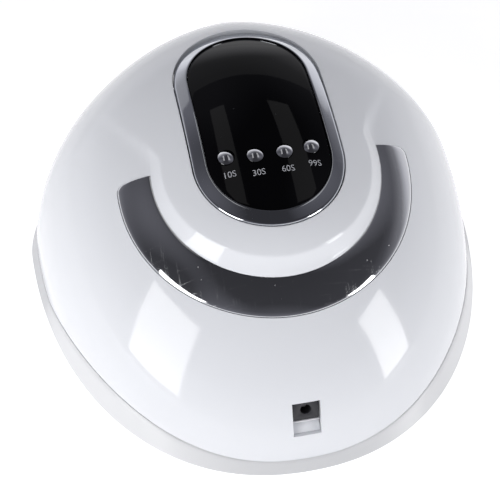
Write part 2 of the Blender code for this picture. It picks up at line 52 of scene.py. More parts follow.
# Shapes are worked out in millimetres and MM turns them into metres; the studio is in metres.
MM = 0.001

# Outer dome of the casing
HALF_WIDTH = 108.1
REAR_REACH = 133.75
FRONT_REACH = 86.4
CENTRE_Y = -24.15
DOME_HEIGHT = 88.1
DOME_LEAN = 0.284
REAR_POWER = 2.18
FRONT_POWER = 1.70
WALL_POWER = 2.545
CROWN_POWER = 2.015
CASE_WALL = 2.6

# Wavy seam between casing and tray
SEAM_TOP = 14.0
SEAM_FALL = 10.0
SEAM_MID_Y = 55.5
SEAM_REACH = 56.0
SEAM_LOW = 5.5
SEAM_GAP = 0.3

# Raised crown and its step down to the chrome arc
PANEL_Y = -27.15
CROWN_TOP = 95.0
CROWN_TILT = 0.0193
CROWN_BEND_Y = 0.003
CROWN_BEND_X = 0.0056
CROWN_BLEND = 3.0
NOSE_START = 34.0
NOSE_FALL = 0.0057
ISLAND_Y = -5.5
ISLAND_RADIUS = 53.5
ISLAND_STEP = 5.0
CHAMFER_ROUND = 0.07
FLARE_ANGLE = -8.0
FLARE_RATE = 0.05
ARC_RADIUS = 68.5
ARC_END = -5.0
ARC_SEAT = 1.2
ARC_PROUD = 0.55
ARC_CORNER = 3.2
CROWN_FADE = (60.0, 18.0)       # dome height where the crown takes over, and over how much height
SIDE_FADE = (52.0, 14.0)        # the same for the rows down the side

# Curves about the island's centre where the casing's rows change: rear and front reach
INNER_CURVE = (53.1, 86.0)
OUTER_CURVE = (68.9, 94.0)
CURVE_BEND = (-10.0, 80.0)      # degrees from the side where they start to widen, and over how many
CROWN_ROWS = 32
OUTSIDE_ROWS = 46
INSIDE_ROWS = 26
ROOF_DROP = 0.8                 # extra depth of the inner surface under the crown

# Control panel
PANEL_STRAIGHT = 47.0
RING_OUTER = 34.7
RING_INNER = 28.5
PANEL_HOLE = 35.0
LENS_RADIUS = 28.2
LENS_BELOW = 0.25
BUTTON_RADIUS = 3.7
BUTTONS = {"10s": (19.6, -4.85), "30s": (6.7, -2.95), "60s": (-6.7, -2.95), "99s": (-19.6, -4.85)}
BUTTON_CLEARANCE = 0.25
CUTTER_LEVEL = 90.0
LABEL_HEIGHT = 3.1
LABEL_BEHIND = 6.9
LABEL_SIZE = 1.36               # text size that gives capitals of height 1

# Tray, liner and mouth
TRAY_BOTTOM = 1.5
TRAY_WALL = 2.4
TRAY_FLARE = 1.0275
TRAY_LIP = 1.004
TRAY_REARWARD = 0.528
TRAY_TURN_UP = 1.2
LINER_SCALE = 0.82
LINER_HEIGHT = 64.0
LINER_WALL = 1.6
FLANGE_BOTTOM = 7.0
FLANGE_SCALE = 0.955
MOUTH_HALF_WIDTH = 76.0
MOUTH_HEIGHT = 54.0
MOUTH_DEPTH = 85.0
MOUTH_FRONT = -140.0
FOOT_PLACES = ("rear_left", "rear_right", "front_left", "front_right")
SENSOR_SIDES = (-7.0, 7.0)
SENSOR_Y = -72.0
SENSOR_HOLE = 2.8

# Lamp beads: height of each row, and the plan angles of its beads in degrees
LED_ROWS = ((16.0, (20, 45, 70, 90, 110, 135, 160, -18, 198)),
            (32.0, (8, 33, 57, 78, 102, 123, 147, 172)),
            (46.0, (22, 50, 75, 105, 130, 158)),
            (58.0, (30, 90, 150, 210, 330)))
BEAD_PROFILE = ((2.9, 0.0), (2.9, 0.5), (2.6, 0.75), (2.1, 0.75), (2.0, 0.9), (1.7, 1.35), (1.1, 1.7),
                (0.45, 1.84))
BEAD_SUNK = 0.25

# Power inlet
INLET_CENTRE = (0.0, 97.05, 25.5)
INLET_SLOPE = 61.5
INLET_WIDTH = 13.0
INLET_LENGTH = 17.2

# Camera
CAMERA_AIM = (8.21, 8.92, 32.97)
CAMERA_AZIMUTH = 163.33
CAMERA_ELEVATION = 57.32
CAMERA_ROLL = 5.76
CAMERA_DISTANCE = 640.6
CAMERA_LENS = 96.05

# Studio: strips are azimuth, elevation, width, height, power; ceiling strips are place across, width, power
STRIPS = {"left_strip": (57.0, 19.0, 0.36, 0.52, 2.3), "right_strip": (-50.0, 15.0, 0.21, 0.44, 1.35),
          "front_wall": (175.0, 21.0, 1.9, 0.38, 0.34)}
STRIP_DISTANCE = 0.75
CEILING_STRIPS = {"ceiling_left": (0.18, 0.13, 0.10), "ceiling_right": (-0.37, 0.20, 0.14)}
CEILING_LENGTH = 0.72
CEILING_PLACE = (-0.36, 0.80)
OVERHEAD_SIZE = 1.2
OVERHEAD_POWER = 3.4
FLOOR_SIZE = 6.0
FLOOR_GLOW = 0.55
SKY_STRENGTH = 1.0
SKY_STOPS = ((0.0, (0.84, 0.84, 0.86)), (0.22, (0.54, 0.54, 0.58)), (0.36, (0.19, 0.19, 0.21)),
             (0.52, (0.10, 0.10, 0.115)), (1.0, (0.07, 0.07, 0.08)))


# ================================================================ surfaces of the casing
def plan_direction(angle):
    """Point on the unit plan outline; 90 degrees is the rear."""
    across, along = np.cos(angle), np.sin(angle)
    power = 2.0 / np.where(along > 0, REAR_POWER, FRONT_POWER)
    return np.sign(across) * np.abs(across) ** power, np.sign(along) * np.abs(along) ** power


def plan_scale(height, top=DOME_HEIGHT):
    share = np.clip(height / top, 0.0, 1.0)
    return (1.0 - share ** CROWN_POWER) ** (1.0 / WALL_POWER)


def on_dome(across, along, height, scale=1.0, top=DOME_HEIGHT):
    """Points of the dome at a height, in the given directions of the plan outline."""
    size = scale * plan_scale(height, top)
    reach = np.where(along > 0, REAR_REACH, FRONT_REACH)
    x = HALF_WIDTH * size * across
    y = CENTRE_Y - DOME_LEAN * height + reach * size * along
    return np.stack([x, y, height + 0.0 * x], axis=-1)


def dome_height(x, y, scale=1.0, top=DOME_HEIGHT):
    """Height of the dome over plan points near the crown, corrected step by step for the lean."""
    height = np.full(np.shape(x), 0.8 * top)
    for _ in range(40):
        along = y - CENTRE_Y + DOME_LEAN * height
        behind = along > 0
        reach = np.where(behind, REAR_REACH, FRONT_REACH)
        power = np.where(behind, REAR_POWER, FRONT_POWER)
        size = (np.abs(x / HALF_WIDTH) ** power + np.abs(along / reach) ** power) ** (1.0 / power)
        drop = np.maximum(1.0 - (size / scale) ** WALL_POWER, 0.0)
        height = height + 0.6 * (top * drop ** (1.0 / CROWN_POWER) - height)
    return height


def smooth_step(share):
    share = np.clip(share, 0.0, 1.0)
    return share * share * (3.0 - 2.0 * share)


def chamfer(share):
    """A straight slope from 0 to 1 with its two edges slightly rounded."""
    return 0.5 * (np.hypot(share, CHAMFER_ROUND) - np.hypot(share - 1.0, CHAMFER_ROUND) + 1.0)


def crown_height(x, y):
    along = y - PANEL_Y
    nose = NOSE_FALL * np.maximum(-along - NOSE_START, 0.0) ** 2
    return CROWN_TOP + CROWN_TILT * along - CROWN_BEND_Y * along ** 2 - CROWN_BEND_X * x ** 2 - nose


def island_edge(x, y):
    angle = np.degrees(np.arctan2(y - ISLAND_Y, np.abs(x)))
    return ISLAND_RADIUS + FLARE_RATE * np.maximum(FLARE_ANGLE - angle, 0.0) ** 2


def body_height(x, y):
    dome = dome_height(x, y)
    crown = crown_height(x, y)
    blended = 0.5 * (crown + dome + np.hypot(crown - dome, CROWN_BLEND))
    inside = (island_edge(x, y) - np.hypot(x, y - ISLAND_Y)) / ISLAND_STEP
    front = smooth_step((dome - CROWN_FADE[0]) / CROWN_FADE[1])
    return dome + chamfer(inside) * front * (blended - dome)


def seam_height(across, along):
    y = on_dome(across, along, np.full(np.shape(across), SEAM_LOW))[..., 1]
    return np.maximum(SEAM_TOP - SEAM_FALL * ((y - SEAM_MID_Y) / SEAM_REACH) ** 2, SEAM_LOW)


def stadium(share, radius):
    """Plan points round the panel at a distance from its middle line; share runs from 0 to 1."""
    half = PANEL_STRAIGHT / 2
    arc = math.pi * RING_OUTER
    travel = np.mod(share, 1.0) * 2.0 * (arc + PANEL_STRAIGHT)
    leg = np.mod(travel, arc + PANEL_STRAIGHT)
    side = np.where(travel < arc + PANEL_STRAIGHT, 1.0, -1.0)
    turn = np.minimum(leg, arc) / RING_OUTER
    slide = np.maximum(leg - arc, 0.0)
    x = side * radius * np.cos(turn)
    y = PANEL_Y + side * (half + radius * np.sin(turn) - slide)
    return x, y


def inlet_place(across, up, out):
    """A point by its place on the sloped inlet window, in metres; out is away from the casing."""
    slope = math.radians(INLET_SLOPE)
    rise = Vector((0.0, -math.cos(slope), math.sin(slope)))
    normal = Vector((0.0, math.sin(slope), math.cos(slope)))
    return (Vector(INLET_CENTRE) + Vector((across, 0.0, 0.0)) + rise * up + normal * out) * MM


# ================================================================ modelling helpers
def pick(piece):
    bpy.ops.object.select_all(action="DESELECT")
    piece.select_set(True)
    bpy.context.view_layer.objects.active = piece


def edit(piece, *steps):
    """Run edit-mode operators on everything in a piece."""
    pick(piece)
    bpy.ops.object.mode_set(mode="EDIT")
    bpy.ops.mesh.select_all(action="SELECT")
    for step in steps:
        step()
    bpy.ops.object.mode_set(mode="OBJECT")
    piece.select_set(False)


def apply_all(piece):
    pick(piece)
    for modifier in list(piece.modifiers):
        bpy.ops.object.modifier_apply(modifier=modifier.name)
    piece.select_set(False)


def placed(centre, turn=None):
    return Matrix.Translation(Vector(centre)) @ (turn.to_4x4() if turn else Matrix.Identity(4))


def settle(piece):
    """Put a piece's place into its mesh."""
    piece.data.transform(piece.matrix_world)
    piece.matrix_world = Matrix.Identity(4)


def merge_and_turn_out():
    bpy.ops.mesh.remove_doubles(threshold=0.000002)
    bpy.ops.mesh.delete_loose(use_verts=True, use_edges=True, use_faces=False)
    bpy.ops.mesh.normals_make_consistent(inside=False)


def shade(piece, degrees=30):
    pick(piece)
    bpy.ops.object.shade_smooth_by_angle(angle=math.radians(degrees))
    piece.select_set(False)


def lay_grid(name, points, closed=True):
    """A grid primitive laid on rows of points; closed joins the last column to the first."""
    rows, columns = points.shape[:2]
    wide = columns if closed else columns - 1
    bpy.ops.mesh.primitive_grid_add(x_subdivisions=wide, y_subdivisions=rows - 1, size=1.0)
    piece = bpy.context.object
    piece.name = name
    flat = np.empty(len(piece.data.vertices) * 3)
    piece.data.vertices.foreach_get("co", flat)
    flat = flat.reshape(-1, 3)
    column = np.rint((flat[:, 0] + 0.5) * wide).astype(int) % columns
    row = np.rint((flat[:, 1] + 0.5) * (rows - 1)).astype(int)
    piece.data.vertices.foreach_set("co", (points[row, column] * MM).ravel())
    piece.data.update()
    edit(piece, merge_and_turn_out)
    return piece


def cut(piece, cutter, keep_inside=False):
    """Take a cutter out of a piece, or keep only what lies inside it, and remove the cutter."""
    step = piece.modifiers.new("cut", "BOOLEAN")
    step.operation = "INTERSECT" if keep_inside else "DIFFERENCE"
    step.solver = "EXACT"
    step.object = cutter
    apply_all(piece)
    bpy.data.objects.remove(cutter, do_unlink=True)


def soften(piece, width, segments=2, degrees=40):
    edge = piece.modifiers.new("soft", "BEVEL")
    edge.width = width * MM
    edge.segments = segments
    edge.limit_method = "ANGLE"
    edge.angle_limit = math.radians(degrees)
    edge.use_clamp_overlap = True
    apply_all(piece)


def block(name, size, centre, turn=None):
    bpy.ops.mesh.primitive_cube_add(size=1.0)
    piece = bpy.context.object
    piece.name = name
    piece.matrix_world = placed(centre, turn) @ Matrix.Diagonal((*[MM * side for side in size], 1.0))
    settle(piece)
    return piece


def drum(name, radius, depth, centre, turn=None, sides=48):
    bpy.ops.mesh.primitive_cylinder_add(vertices=sides, radius=radius * MM, depth=depth * MM)
    piece = bpy.context.object
    piece.name = name
    piece.matrix_world = placed(centre, turn)
    settle(piece)
    return piece


def turned(name, profile, sides=64):
    """A closed turned piece: a profile of (radius, height) rows laid round the Z axis."""
    turn = np.linspace(0.0, 2.0 * math.pi, sides, endpoint=False)
    rows = [np.stack([radius * np.cos(turn), radius * np.sin(turn), np.full(sides, float(height))], axis=-1)
            for radius, height in profile]
    return lay_grid(name, np.array(rows))


def move(piece, offset, turn=None):
    piece.data.transform(placed(offset, turn))


def fill_ends(piece):
    """Close each open loop with its own face."""
    shape = bmesh.new()
    shape.from_mesh(piece.data)
    bmesh.ops.holes_fill(shape, edges=[edge for edge in shape.edges if edge.is_boundary], sides=0)
    bmesh.ops.recalc_face_normals(shape, faces=shape.faces)
    shape.to_mesh(piece.data)
    shape.free()


def mouth_cutter(half_width, height, foot=-20.0):
    """Arched prism from well in front of the lamp to the mouth's depth."""
    turn = np.linspace(0.0, math.pi, 97)
    x = half_width * np.sign(np.cos(turn)) * np.abs(np.cos(turn)) ** 0.5
    z = height * np.sin(turn).clip(0.0) ** 0.5
    x = np.concatenate([x, [-half_width, half_width]])
    z = np.concatenate([z, [foot, foot]])
    rows = [np.stack([x, np.full(len(x), y), z], axis=-1)
            for y in (MOUTH_FRONT, MOUTH_FRONT + MOUTH_DEPTH)]
    piece = lay_grid("mouth_cutter", np.array(rows))
    fill_ends(piece)
    return piece


# ================================================================ materials
def node_group(name, inputs, output):
    """A group of one effect, with number inputs and one number output."""
    group = bpy.data.node_groups.new(name, "ShaderNodeTree")
    for label, value in inputs.items():
        socket = group.interface.new_socket(name=label, in_out="INPUT", socket_type="NodeSocketFloat")
        socket.default_value = value
    group.interface.new_socket(name=output, in_out="OUTPUT", socket_type="NodeSocketFloat")
    return group, group.nodes.new("NodeGroupInput"), group.nodes.new("NodeGroupOutput")


def add_noise(nodes, links, coordinates, scale, detail=4.0, roughness=0.5):
    noise = nodes.new("ShaderNodeTexNoise")
    noise.inputs["Scale"].default_value = scale
    noise.inputs["Detail"].default_value = detail
    noise.inputs["Roughness"].default_value = roughness
    links.new(coordinates, noise.inputs["Vector"])
    return noise


def map_range(nodes, links, value, low, high, to_low=0.0, to_high=1.0):
    step = nodes.new("ShaderNodeMapRange")
    for label, number in (("From Min", low), ("From Max", high), ("To Min", to_low), ("To Max", to_high)):
        step.inputs[label].default_value = number
    links.new(value, step.inputs["Value"])
    return step.outputs["Result"]


def combine(nodes, links, operation, first, second):
    step = nodes.new("ShaderNodeMath")
    step.operation = operation
    for socket, value in zip(step.inputs, (first, second)):
        if isinstance(value, (int, float)):
            socket.default_value = value
        else:
            links.new(value, socket)
    return step.outputs["Value"]


def make_moulded_grain():
    """Very fine unevenness of a moulded or sprayed surface, as a bump height."""
    group, given, result = node_group("moulded_grain", {"Scale": 900.0, "Waviness": 0.3}, "Height")
    nodes, links = group.nodes, group.links
    place = nodes.new("ShaderNodeTexCoord").outputs["Object"]
    fine = add_noise(nodes, links, place, 900.0, 2.0)
    links.new(given.outputs["Scale"], fine.inputs["Scale"])
    broad = add_noise(nodes, links, place, 28.0, 1.0)
    wave = combine(nodes, links, "MULTIPLY", broad.outputs["Fac"], given.outputs["Waviness"])
    links.new(combine(nodes, links, "ADD", fine.outputs["Fac"], wave), result.inputs["Height"])
    return group


def make_handling():
    """Soft cloudy marks where the surface has been wiped and handled, as a roughness to add."""
    group, given, result = node_group("handling_marks", {"Base": 0.1, "Amount": 0.1}, "Roughness")
    nodes, links = group.nodes, group.links
    place = nodes.new("ShaderNodeTexCoord").outputs["Object"]
    cloud = add_noise(nodes, links, place, 22.0, 6.0, 0.62)
    mask = map_range(nodes, links, cloud.outputs["Fac"], 0.45, 0.75)
    marks = combine(nodes, links, "MULTIPLY", mask, given.outputs["Amount"])
    links.new(combine(nodes, links, "ADD", marks, given.outputs["Base"]), result.inputs["Roughness"])
    return group


def make_dust():
    """Sparse tiny specks of dust, as a mask."""
    group, given, result = node_group("dust_specks", {"Scale": 260.0, "Size": 0.09}, "Mask")
    nodes, links = group.nodes, group.links
    place = nodes.new("ShaderNodeTexCoord").outputs["Object"]
    cells = nodes.new("ShaderNodeTexVoronoi")
    links.new(place, cells.inputs["Vector"])
    links.new(given.outputs["Scale"], cells.inputs["Scale"])
    speck = combine(nodes, links, "LESS_THAN", cells.outputs["Distance"], given.outputs["Size"])
    patch = add_noise(nodes, links, place, 60.0, 3.0)
    where = combine(nodes, links, "GREATER_THAN", patch.outputs["Fac"], 0.56)
    links.new(combine(nodes, links, "MULTIPLY", speck, where), result.inputs["Mask"])
    return group


def make_scratches():
    """Hair-fine scratches in two directions, as a mask."""
    group, given, result = node_group("fine_scratches", {"Width": 0.012}, "Mask")
    nodes, links = group.nodes, group.links
    place = nodes.new("ShaderNodeTexCoord").outputs["Object"]
    total = None
    for turn, stretch in ((0.5, (30.0, 900.0, 30.0)), (-0.9, (700.0, 24.0, 24.0))):
        laid = nodes.new("ShaderNodeMapping")
        laid.inputs["Rotation"].default_value = (0.0, 0.0, turn)
        laid.inputs["Scale"].default_value = stretch
        links.new(place, laid.inputs["Vector"])
        streak = add_noise(nodes, links, laid.outputs["Vector"], 1.0, 1.0)
        offset = combine(nodes, links, "SUBTRACT", streak.outputs["Fac"], 0.66)
        middle = combine(nodes, links, "ABSOLUTE", offset, 0.0)
        line = combine(nodes, links, "LESS_THAN", middle, given.outputs["Width"])
        total = line if total is None else combine(nodes, links, "MAXIMUM", total, line)
    links.new(total, result.inputs["Mask"])
    return group


GRAIN = make_moulded_grain()
HANDLING = make_handling()
DUST = make_dust()
SCRATCHES = make_scratches()


def finish_material(name, colour, roughness, metallic=0.0, marks=0.06, grain=(900.0, 0.3, 0.02), dust=0.0,
                    dust_colour=(0.8, 0.8, 0.82), scratches=0.0, tint=0.04, coat=0.0, coat_roughness=0.05,
                    ior=1.46):
    """One finish: slightly cloudy colour, handling marks, fine grain, and dust or scratches.

    grain is the scale, the waviness and the bump strength of the moulded grain.
    """
    material = bpy.data.materials.new(name)
    material.use_nodes = True
    nodes, links = material.node_tree.nodes, material.node_tree.links
    shader = nodes["Principled BSDF"]
    shader.inputs["Metallic"].default_value = metallic
    shader.inputs["IOR"].default_value = ior
    shader.inputs["Coat Weight"].default_value = coat
    shader.inputs["Coat Roughness"].default_value = coat_roughness
    place = nodes.new("ShaderNodeTexCoord").outputs["Object"]
    cloud = add_noise(nodes, links, place, 14.0, 3.0)
    shift = map_range(nodes, links, cloud.outputs["Fac"], 0.3, 0.7, 0.0, 1.0)
    blend = nodes.new("ShaderNodeMix")
    blend.data_type = "RGBA"
    links.new(shift, blend.inputs["Factor"])
    blend.inputs["A"].default_value = (*[channel * (1.0 - tint) for channel in colour], 1.0)
    blend.inputs["B"].default_value = (*[min(channel * (1.0 + tint), 1.0) for channel in colour], 1.0)
    painted = blend.outputs["Result"]
    handled = nodes.new("ShaderNodeGroup")
    handled.node_tree = HANDLING
    handled.inputs["Base"].default_value = roughness
    handled.inputs["Amount"].default_value = marks
    rough = handled.outputs["Roughness"]
    if scratches:
        lines = nodes.new("ShaderNodeGroup")
        lines.node_tree = SCRATCHES
        rough = combine(nodes, links, "ADD", rough,
                        combine(nodes, links, "MULTIPLY", lines.outputs["Mask"], scratches))
    if dust:
        specks = nodes.new("ShaderNodeGroup")
        specks.node_tree = DUST
        specks.inputs["Size"].default_value = dust
        over = nodes.new("ShaderNodeMix")
        over.data_type = "RGBA"
        links.new(specks.outputs["Mask"], over.inputs["Factor"])
        links.new(painted, over.inputs["A"])
        over.inputs["B"].default_value = (*dust_colour, 1.0)
        painted = over.outputs["Result"]
        rough = combine(nodes, links, "ADD", rough,
                        combine(nodes, links, "MULTIPLY", specks.outputs["Mask"], 0.5))
    links.new(painted, shader.inputs["Base Color"])
    links.new(rough, shader.inputs["Roughness"])
    texture = nodes.new("ShaderNodeGroup")
    texture.node_tree = GRAIN
    scale, waviness, strength = grain
    texture.inputs["Scale"].default_value = scale
    texture.inputs["Waviness"].default_value = waviness
    bump = nodes.new("ShaderNodeBump")
    bump.inputs["Strength"].default_value = strength
    bump.inputs["Distance"].default_value = 0.0002
    links.new(texture.outputs["Height"], bump.inputs["Height"])
    links.new(bump.outputs["Normal"], shader.inputs["Normal"])
    return material


CASE_WHITE = finish_material("case_gloss_white", (0.825, 0.84, 0.87), 0.09, marks=0.05,
                             grain=(500.0, 0.6, 0.02), tint=0.006, coat=0.35, coat_roughness=0.03)
TRAY_MILK = finish_material("tray_milk_white", (0.80, 0.805, 0.815), 0.28,
                            grain=(1200.0, 0.3, 0.08), tint=0.01)
LINER_GLOSS = finish_material("liner_white", (0.82, 0.83, 0.85), 0.22,
                              grain=(1100.0, 0.4, 0.05), tint=0.012)
ARC_CHROME = finish_material("arc_chrome", (0.84, 0.85, 0.87), 0.045, 1.0, marks=0.05,
                             grain=(700.0, 1.2, 0.02), dust=0.075, scratches=0.12, tint=0.03)
RING_CHROME = finish_material("ring_chrome", (0.74, 0.76, 0.80), 0.07, 1.0, marks=0.05,
                              grain=(700.0, 0.8, 0.02), scratches=0.08, tint=0.02)
KEY_CHROME = finish_material("key_chrome", (0.86, 0.87, 0.90), 0.04, 1.0, marks=0.04,
                             grain=(900.0, 0.5, 0.02), tint=0.02)
PANEL_BLACK = finish_material("panel_gloss_black", (0.0015, 0.0015, 0.002), 0.03, marks=0.03, ior=1.36,
                              grain=(600.0, 0.5, 0.01), dust=0.03, dust_colour=(0.12, 0.12, 0.14),
                              scratches=0.05, tint=0.2)
LABEL_WHITE = finish_material("label_print_white", (0.50, 0.51, 0.54), 0.45,
                              grain=(2600.0, 0.2, 0.1), tint=0.03)
SOCKET_DARK = finish_material("socket_dark_plastic", (0.022, 0.022, 0.026), 0.32,
                              grain=(1700.0, 0.3, 0.25), tint=0.12)
# Painted shade: the inlet's pocket and ledge are the case's white plastic, given a darker grey here to stand
# for the shade inside the recess
INLET_PAINTED_SHADE = finish_material("inlet_recess_painted_shade", (0.72, 0.72, 0.75), 0.3,
                              grain=(1400.0, 0.3, 0.1), tint=0.02)
FOOT_RUBBER = finish_material("foot_rubber", (0.16, 0.16, 0.17), 0.7, grain=(2200.0, 0.5, 0.5),
                              dust=0.06, dust_colour=(0.3, 0.3, 0.3), tint=0.12)
BOARD_GREEN = finish_material("board_lacquer", (0.03, 0.16, 0.07), 0.3, grain=(2600.0, 0.4, 0.3),
                              tint=0.15, coat=0.3, coat_roughness=0.2)
METAL_BRIGHT = finish_material("plated_steel", (0.70, 0.70, 0.70), 0.22, 1.0, marks=0.12,
                               grain=(2000.0, 0.4, 0.15), scratches=0.2, tint=0.06)
LEAD_SLEEVE = finish_material("lead_sleeve", (0.30, 0.02, 0.02), 0.4,
                              grain=(2400.0, 0.3, 0.2), tint=0.1)
LED_LENS = finish_material("led_lens", (0.86, 0.78, 0.42), 0.12,
                           grain=(2600.0, 0.3, 0.05), tint=0.08, coat=0.6)
SLOT_FINISH = {"white_gloss": CASE_WHITE, "liner_white": LINER_GLOSS, "tray_white": TRAY_MILK,
               "chrome": RING_CHROME, "black_gloss": PANEL_BLACK, "dark_plastic": SOCKET_DARK,
               "board_green": BOARD_GREEN, "bright_metal": METAL_BRIGHT, "grey_rubber": FOOT_RUBBER,
               "wire_sleeve": LEAD_SLEEVE}


def dress(piece, material, body, slot_name, *nodes):
    """Finish a piece, tie it to its body and hide the CAD nodes it stands for; slot_name is not used."""
    piece.data.materials.clear()
    piece.data.materials.append(material)
    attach(piece, body)
    if nodes:
        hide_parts(*nodes)
    return piece


# ================================================================ casing
# Angles of the casing's columns about the island's centre, denser at the two ends of the arc
ARC_SPAN = np.concatenate([np.linspace(-5.0, -2.2, 15), np.linspace(-1.2, 181.2, 153),
                           np.linspace(182.2, 185.0, 15)])
COLUMN_ANGLES = np.radians(np.concatenate([ARC_SPAN, np.linspace(185.3, 354.7, 127)]))
IN_ARC = np.arange(len(COLUMN_ANGLES)) < len(ARC_SPAN)


def corner_pull(angle):
    """How far the arc's outer edge draws in at an angle, to round its two corners."""
    degrees = np.degrees(angle)
    from_end = np.minimum(degrees - ARC_END, 180.0 - ARC_END - degrees)
    travel = np.clip(np.radians(from_end) * ARC_RADIUS, 0.0, ARC_CORNER)
    return ARC_CORNER - np.sqrt(ARC_CORNER ** 2 - (ARC_CORNER - travel) ** 2)


def ray_to_panel(radius):
    """Distance from the island's centre to a stadium round the panel, along each column."""
    low, high = np.zeros(len(COLUMN_ANGLES)), np.full(len(COLUMN_ANGLES), 200.0)
    for _ in range(40):
        middle = 0.5 * (low + high)
        x = middle * np.cos(COLUMN_ANGLES)
        y = ISLAND_Y + middle * np.sin(COLUMN_ANGLES) - PANEL_Y
        away = np.hypot(x, y - np.clip(y, -PANEL_STRAIGHT / 2, PANEL_STRAIGHT / 2))
        low, high = np.where(away < radius, middle, low), np.where(away < radius, high, middle)
    return low


def polar_row(reach, height):
    """A row of points at a reach from the island's centre, one in each column."""
    x = reach * np.cos(COLUMN_ANGLES)
    y = ISLAND_Y + reach * np.sin(COLUMN_ANGLES)
    return np.stack([x, y, height(x, y)], axis=-1)


def between(ends, share):
    return ends[0] + (ends[1] - ends[0]) * share


def casing_rows():
    """Rows from the panel's hole over the crown and the arc's seat, and the curve where they end."""
    front = np.mod(np.degrees(COLUMN_ANGLES) + 90.0, 360.0) - 90.0
    turned_front = np.minimum(front, 180.0 - front)
    forward = smooth_step((CURVE_BEND[0] - turned_front) / CURVE_BEND[1])
    outer = between(OUTER_CURVE, forward)
    inner = between(INNER_CURVE, forward)
    panel = ray_to_panel(PANEL_HOLE)
    pull = np.where(IN_ARC, corner_pull(COLUMN_ANGLES), 0.0)
    sunk = np.where(IN_ARC, ARC_SEAT, 0.0)
    rows = [polar_row(ray_to_panel(PANEL_HOLE - 0.05), lambda x, y: crown_height(x, y) - 3.6),
            polar_row(panel, lambda x, y: crown_height(x, y) - 0.7),
            polar_row(ray_to_panel(PANEL_HOLE + 0.25), lambda x, y: body_height(x, y) - 0.12)]
    start = ray_to_panel(PANEL_HOLE + 0.7)
    for share in np.linspace(0.0, 1.0, CROWN_ROWS):
        rows.append(polar_row(start + (inner - start) * share, body_height))
    for share, low in ((0.016, 1.0), (0.2, 1.0), (0.4, 1.0), (0.6, 1.0), (0.8, 1.0), (0.984, 1.0),
                       (1.0, 0.0)):
        rows.append(polar_row(inner + (outer - pull - inner) * share,
                              lambda x, y, low=low: body_height(x, y) - low * sunk))
    return rows, outer


def meridians(outer, scale, top, steps, lift=0.0):
    """Rows down the side of the dome, from the outer curve to the seam."""
    x = outer * np.cos(COLUMN_ANGLES)
    y = ISLAND_Y + outer * np.sin(COLUMN_ANGLES)
    start = dome_height(x, y, scale, top)
    size = scale * plan_scale(start, top)
    along = y - CENTRE_Y + DOME_LEAN * start
    reach = np.where(along > 0, REAR_REACH, FRONT_REACH)
    across, along = x / (HALF_WIDTH * size), along / (reach * size)
    low = seam_height(across, along) + lift
    first, last = np.arcsin(np.clip(start / top, 0, 1)), np.arcsin(np.clip(low / top, 0, 1))
    rows = []
    for share in np.linspace(0.0, 1.0, steps + 1)[1:]:
        height = top * np.sin(first + (last - first) * share)
        row = on_dome(across, along, height, scale, top)
        raised = np.maximum(body_height(row[:, 0], row[:, 1]) - dome_height(row[:, 0], row[:, 1]), 0.0)
        row[:, 2] += raised * smooth_step((height - SIDE_FADE[0]) / SIDE_FADE[1])
        rows.append(row)
    return rows, across, along, low


def build_casing():
    rows, outer = casing_rows()
    side, across, along, low = meridians(outer, 1.0, DOME_HEIGHT, OUTSIDE_ROWS, lift=0.5)
    rows += side
    rows.append(on_dome(across, along, low - 0.38, 0.9995))
    rows.append(on_dome(across, along, low - 0.5, 0.9980))
    thin = 1.0 - CASE_WALL / HALF_WIDTH
    inner_top = DOME_HEIGHT - CASE_WALL
    rows.append(on_dome(across, along, low - 0.5, thin + 0.004, inner_top))
    inside = meridians(outer, thin, inner_top, INSIDE_ROWS, lift=0.2)[0]
    rows += list(reversed(inside))

    def under(x, y):
        return body_height(x, y) - CASE_WALL - ROOF_DROP

    near = ray_to_panel(PANEL_HOLE)
    for share in (1.0, 0.8, 0.6, 0.4, 0.2, 0.0):
        rows.append(polar_row(near + (outer - near) * share, under))
    rows.append(rows[0])
    casing = lay_grid("case_shell", np.array(rows))
    cut(casing, mouth_cutter(MOUTH_HALF_WIDTH, MOUTH_HEIGHT))
    turn = Matrix.Rotation(math.radians(90.0 - INLET_SLOPE), 3, "X")
    cut(casing, block("inlet_cutter", (INLET_WIDTH, 16.0, INLET_LENGTH), inlet_place(0, 0, 0), turn))
    edit(casing, merge_and_turn_out)
    shade(casing, 28)
    return dress(casing, CASE_WHITE, "lamp", "white_gloss", "upper_shell")


def build_chrome_arc():
    turn = np.radians(np.concatenate([np.linspace(-5.0, -2.0, 25), np.linspace(-1.4, 181.4, 220),
                                      np.linspace(182.0, 185.0, 25)]))
    inner, outer = ISLAND_RADIUS - 0.3, ARC_RADIUS - corner_pull(turn)
    middle, half = 0.5 * (inner + outer), 0.5 * (outer - inner)
    profile = [(-1.0, -0.85), (-1.0, -0.1), (-0.985, 0.06), (-0.95, 0.14)]
    profile += [(share, 0.14 + (ARC_PROUD - 0.16) * (1.0 - share ** 2))
                for share in np.linspace(-0.9, 0.9, 19)]
    profile += [(0.95, 0.14), (0.985, 0.06), (1.0, -0.1), (1.0, -0.85)]
    rows = []
    for share, height in profile + profile[:1]:
        radius = middle + half * share
        x, y = radius * np.cos(turn), ISLAND_Y + radius * np.sin(turn)
        rows.append(np.stack([x, y, dome_height(x, y) + height], axis=-1))
    arc = lay_grid("chrome_arc_trim", np.array(rows), closed=False)
    fill_ends(arc)
    shade(arc, 40)
    return dress(arc, ARC_CHROME, "lamp", "chrome", "chrome_arc")


# ================================================================ tray and liner
def plan_columns(count=300):
    return plan_direction(np.linspace(0.0, 2.0 * math.pi, count, endpoint=False))


